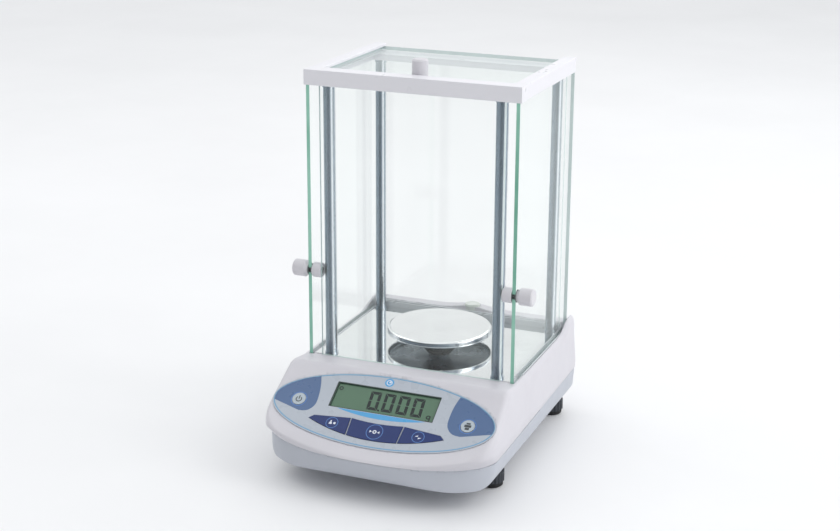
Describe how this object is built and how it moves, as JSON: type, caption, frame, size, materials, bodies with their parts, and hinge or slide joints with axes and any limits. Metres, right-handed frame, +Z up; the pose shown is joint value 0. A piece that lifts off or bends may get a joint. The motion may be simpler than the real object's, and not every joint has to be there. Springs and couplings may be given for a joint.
{
  "type": "analytical balance",
  "caption": "Electronic laboratory balance with a round steel pan inside a glass draft shield with sliding doors, and a sloping front panel with a display and keys.",
  "frame": {"origin": "on the bench, under the middle of the housing", "axes": "+Z up, -Y towards the operator, +X to the operator's right"},
  "size_m": [0.209, 0.2556, 0.333],
  "materials": {
    "housing_light": "fine moulded grain",
    "housing_shade": "fine moulded grain",
    "panel_overlay": "printed polycarbonate overlay",
    "lcd_clear": "clear window",
    "lcd_glass": "reflective green LCD",
    "pcb": "solder mask",
    "switch_black": "moulded",
    "floor_steel": "mirror polished stainless",
    "pan_steel": "fine brushed stainless",
    "cell_aluminium": "milled",
    "plate_steel": "zinc plated",
    "screw_steel": "plated",
    "core_steel": "varnished laminations",
    "cable_grey": "ribbon jacket",
    "connector_black": "moulded",
    "connector_metal": "nickel plated",
    "level_fluid": "spirit level",
    "frame_light": "satin moulded",
    "post_chrome": "polished",
    "shield_glass": "clear float glass",
    "door_glass": "clear float glass, green edges",
    "track_aluminium": "extruded",
    "hub_dark": "satin black",
    "knob_light": "satin moulded",
    "washer_dark": "black washer and screw",
    "key_blue": "printed blue",
    "key_light": "printed light grey",
    "foot_black": "knurled moulding",
    "pad_rubber": "soft rubber"
  },
  "bodies": {
    "base": {"upper_housing": "housing_light", "lower_housing": "housing_shade", "control_panel": "panel_overlay", "lcd_window": "lcd_clear", "lcd_module": "lcd_glass", "display_board": "pcb", "key_switches": "switch_black", "chamber_floor": "floor_steel", "load_cell": "cell_aluminium", "load_cell_base": "plate_steel", "load_cell_bolts": "screw_steel", "main_board": "pcb", "board_screws": "screw_steel", "transformer": "core_steel", "display_cable": "cable_grey", "power_inlet": "connector_black", "serial_port": "connector_metal", "bubble_level": "level_fluid", "front_rail": "frame_light", "left_rail": "frame_light", "right_rail": "frame_light", "rear_cross_member": "frame_light", "front_left_post": "post_chrome", "front_right_post": "post_chrome", "rear_left_post": "post_chrome", "rear_right_post": "post_chrome", "post_screws": "screw_steel", "front_glass": "shield_glass", "back_glass": "shield_glass", "left_track": "track_aluminium", "right_track": "track_aluminium", "rear_sill": "track_aluminium", "housing_screws": "screw_steel", "pan_support": "hub_dark"},
    "left_door": {"left_door_glass": "door_glass", "left_door_outer_knob": "knob_light", "left_door_inner_knob": "knob_light", "left_door_hardware": "washer_dark"},
    "right_door": {"right_door_glass": "door_glass", "right_door_outer_knob": "knob_light", "right_door_inner_knob": "knob_light", "right_door_hardware": "washer_dark"},
    "top_door": {"top_door_glass": "shield_glass", "top_door_knob": "knob_light", "top_door_screw": "screw_steel"},
    "pan": {"weighing_pan": "pan_steel"},
    "rocker": {"power_rocker": "connector_black"},
    "power_key_cap": {"power_key": "key_light"},
    "print_key_cap": {"print_key": "key_light"},
    "calibrate_key_cap": {"calibrate_key": "key_blue"},
    "tare_key_cap": {"tare_key": "key_blue"},
    "mode_key_cap": {"mode_key": "key_blue"},
    "foot_front_left_turning": {"foot_front_left": "foot_black", "foot_pad_front_left": "pad_rubber"},
    "foot_front_right_turning": {"foot_front_right": "foot_black", "foot_pad_front_right": "pad_rubber"},
    "foot_rear_left_turning": {"foot_rear_left": "foot_black", "foot_pad_rear_left": "pad_rubber"},
    "foot_rear_right_turning": {"foot_rear_right": "foot_black", "foot_pad_rear_right": "pad_rubber"}
  },
  "joints": [
    {"name": "left_door_slide", "type": "slide", "parent": "base", "child": "left_door", "axis": [0, 1, 0], "range_m": [0, 0.112]},
    {"name": "right_door_slide", "type": "slide", "parent": "base", "child": "right_door", "axis": [0, 1, 0], "range_m": [0, 0.112]},
    {"name": "top_door_slide", "type": "slide", "parent": "base", "child": "top_door", "axis": [0, 1, 0], "range_m": [0, 0.098]},
    {"name": "pan_lift_off", "type": "slide", "parent": "base", "child": "pan", "axis": [0, 0, 1], "range_m": [0, 0.05]},
    {"name": "rocker_tilt", "type": "hinge", "parent": "base", "child": "rocker", "pos_m": [-0.067, 0.1185, 0.062], "axis": [1, 0, 0], "range_deg": [-16, 0]},
    {"name": "power_key_press", "type": "slide", "parent": "base", "child": "power_key_cap", "axis": [0, 0.5446, -0.8387], "range_m": [0, 0.0006], "stiffness_N_per_m": 1500},
    {"name": "print_key_press", "type": "slide", "parent": "base", "child": "print_key_cap", "axis": [0, 0.5446, -0.8387], "range_m": [0, 0.0006], "stiffness_N_per_m": 1500},
    {"name": "calibrate_key_press", "type": "slide", "parent": "base", "child": "calibrate_key_cap", "axis": [0, 0.5446, -0.8387], "range_m": [0, 0.0006], "stiffness_N_per_m": 1500},
    {"name": "tare_key_press", "type": "slide", "parent": "base", "child": "tare_key_cap", "axis": [0, 0.5446, -0.8387], "range_m": [0, 0.0006], "stiffness_N_per_m": 1500},
    {"name": "mode_key_press", "type": "slide", "parent": "base", "child": "mode_key_cap", "axis": [0, 0.5446, -0.8387], "range_m": [0, 0.0006], "stiffness_N_per_m": 1500},
    {"name": "foot_front_left_turn", "type": "hinge", "parent": "base", "child": "foot_front_left_turning", "pos_m": [-0.081, -0.052, 0], "axis": [0, 0, 1], "range_deg": [-360, 360]},
    {"name": "foot_front_right_turn", "type": "hinge", "parent": "base", "child": "foot_front_right_turning", "pos_m": [0.081, -0.052, 0], "axis": [0, 0, 1], "range_deg": [-360, 360]},
    {"name": "foot_rear_left_turn", "type": "hinge", "parent": "base", "child": "foot_rear_left_turning", "pos_m": [-0.081, 0.107, 0], "axis": [0, 0, 1], "range_deg": [-360, 360]},
    {"name": "foot_rear_right_turn", "type": "hinge", "parent": "base", "child": "foot_rear_right_turning", "pos_m": [0.081, 0.107, 0], "axis": [0, 0, 1], "range_deg": [-360, 360]}
  ]
}
